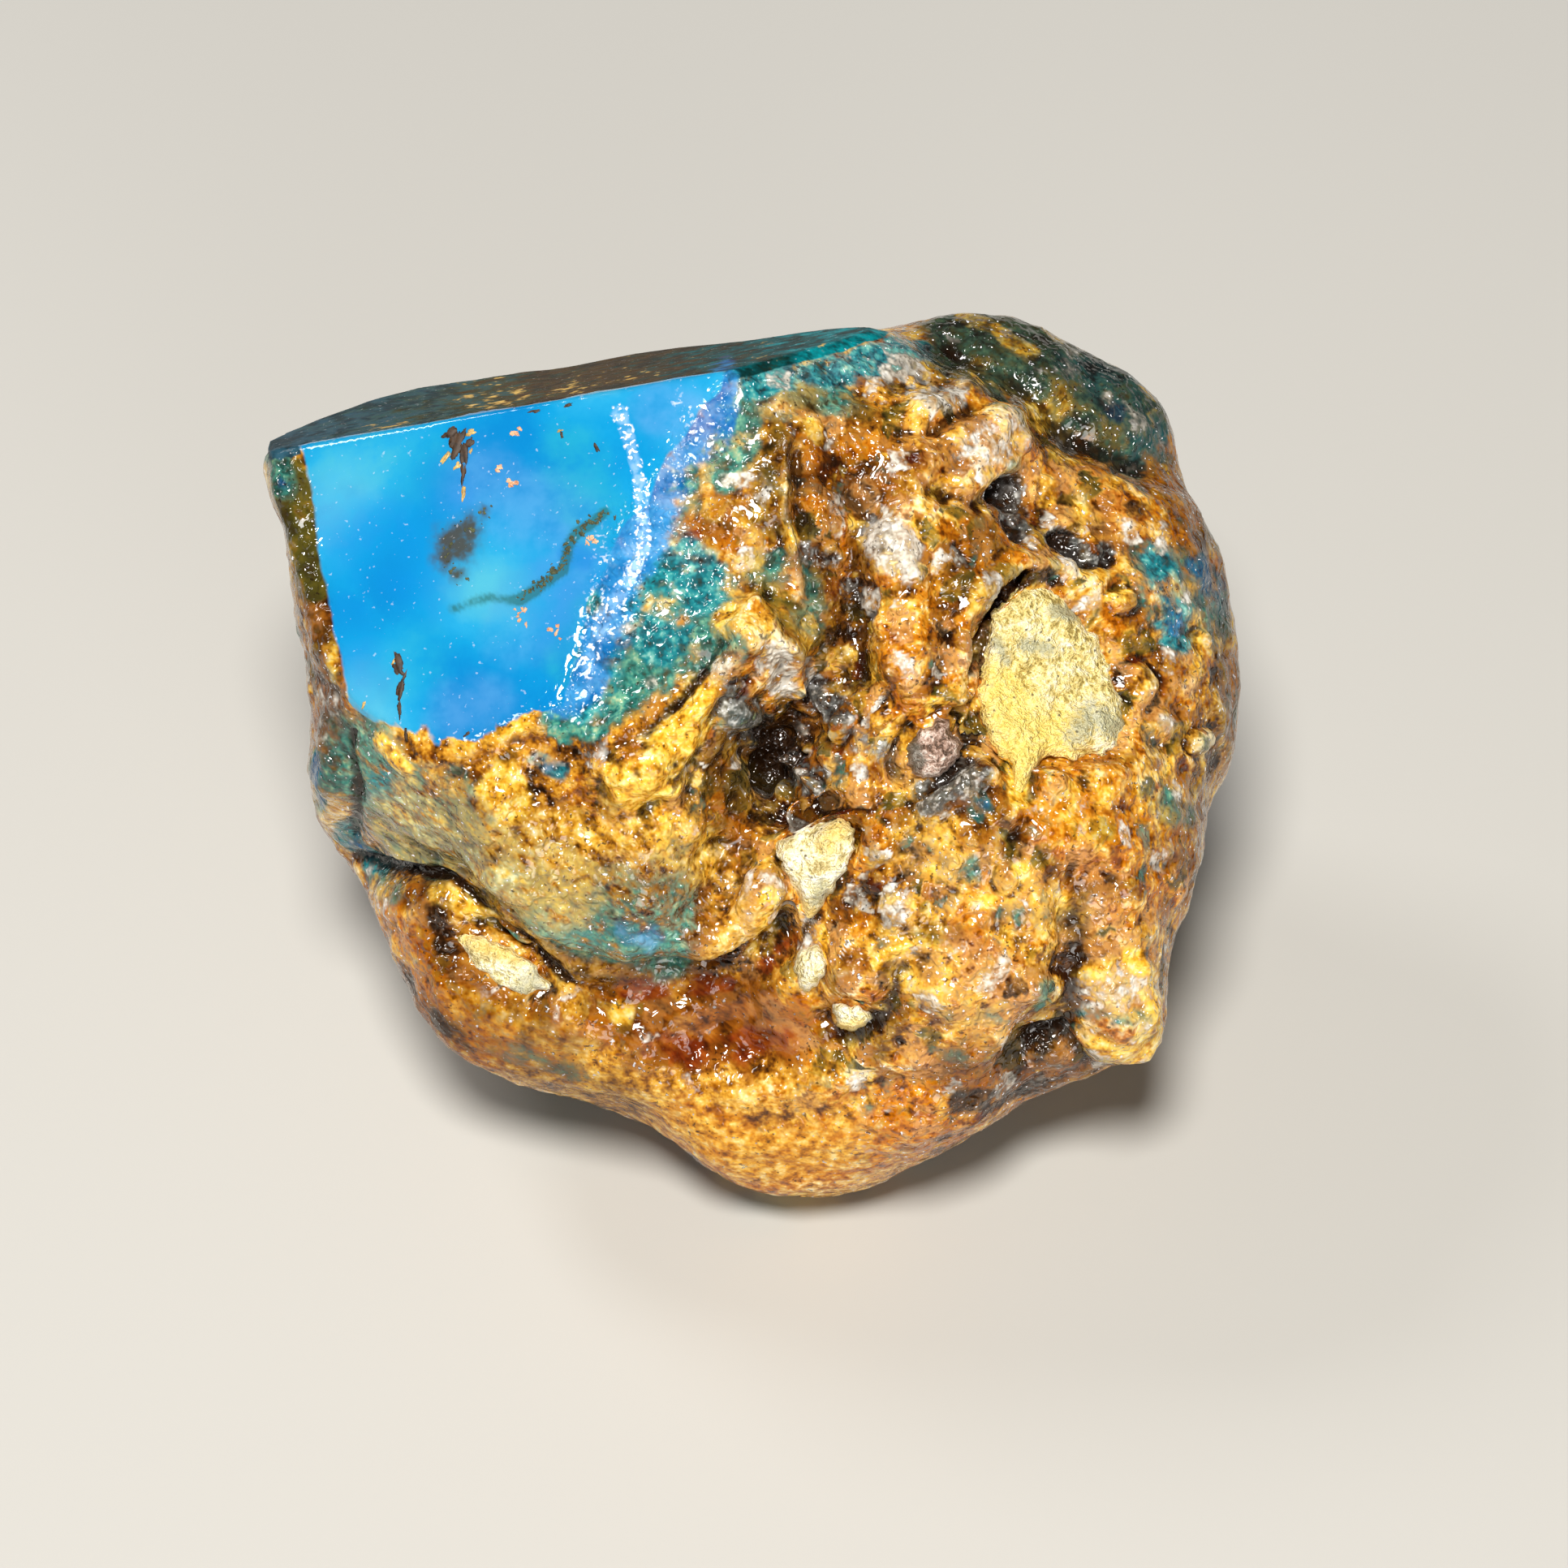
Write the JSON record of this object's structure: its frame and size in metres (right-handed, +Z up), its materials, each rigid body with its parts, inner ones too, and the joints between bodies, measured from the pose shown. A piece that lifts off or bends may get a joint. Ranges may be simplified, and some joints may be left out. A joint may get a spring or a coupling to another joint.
{
  "type": "rough blue amber nugget",
  "caption": "Lumpy rough amber nugget with a sawn and polished blue window, a folded ochre crust with lodged pale rock clasts, and a worn flat to rest on.",
  "frame": {"origin": "on the surface it rests on, under the middle of its bounding box", "axes": "+Z up, +X to the right along its longest side, -Y towards the viewer of the polished window"},
  "size_m": [0.0444, 0.0348, 0.0352],
  "materials": {
    "amber": "glossy weathered crust with a polished blue window",
    "large_clast": "speckled pale sandstone",
    "pale_clasts": "fine pale claystone",
    "brown_pebble": "dull brown pebble"
  },
  "bodies": {
    "root": {"amber_nugget": "amber", "clast_large": "large_clast", "clast_middle": "pale_clasts", "clast_in_fold": "pale_clasts", "clast_small": "pale_clasts", "clast_in_pit": "pale_clasts", "brown_pebble": "brown_pebble"}
  },
  "joints": []
}
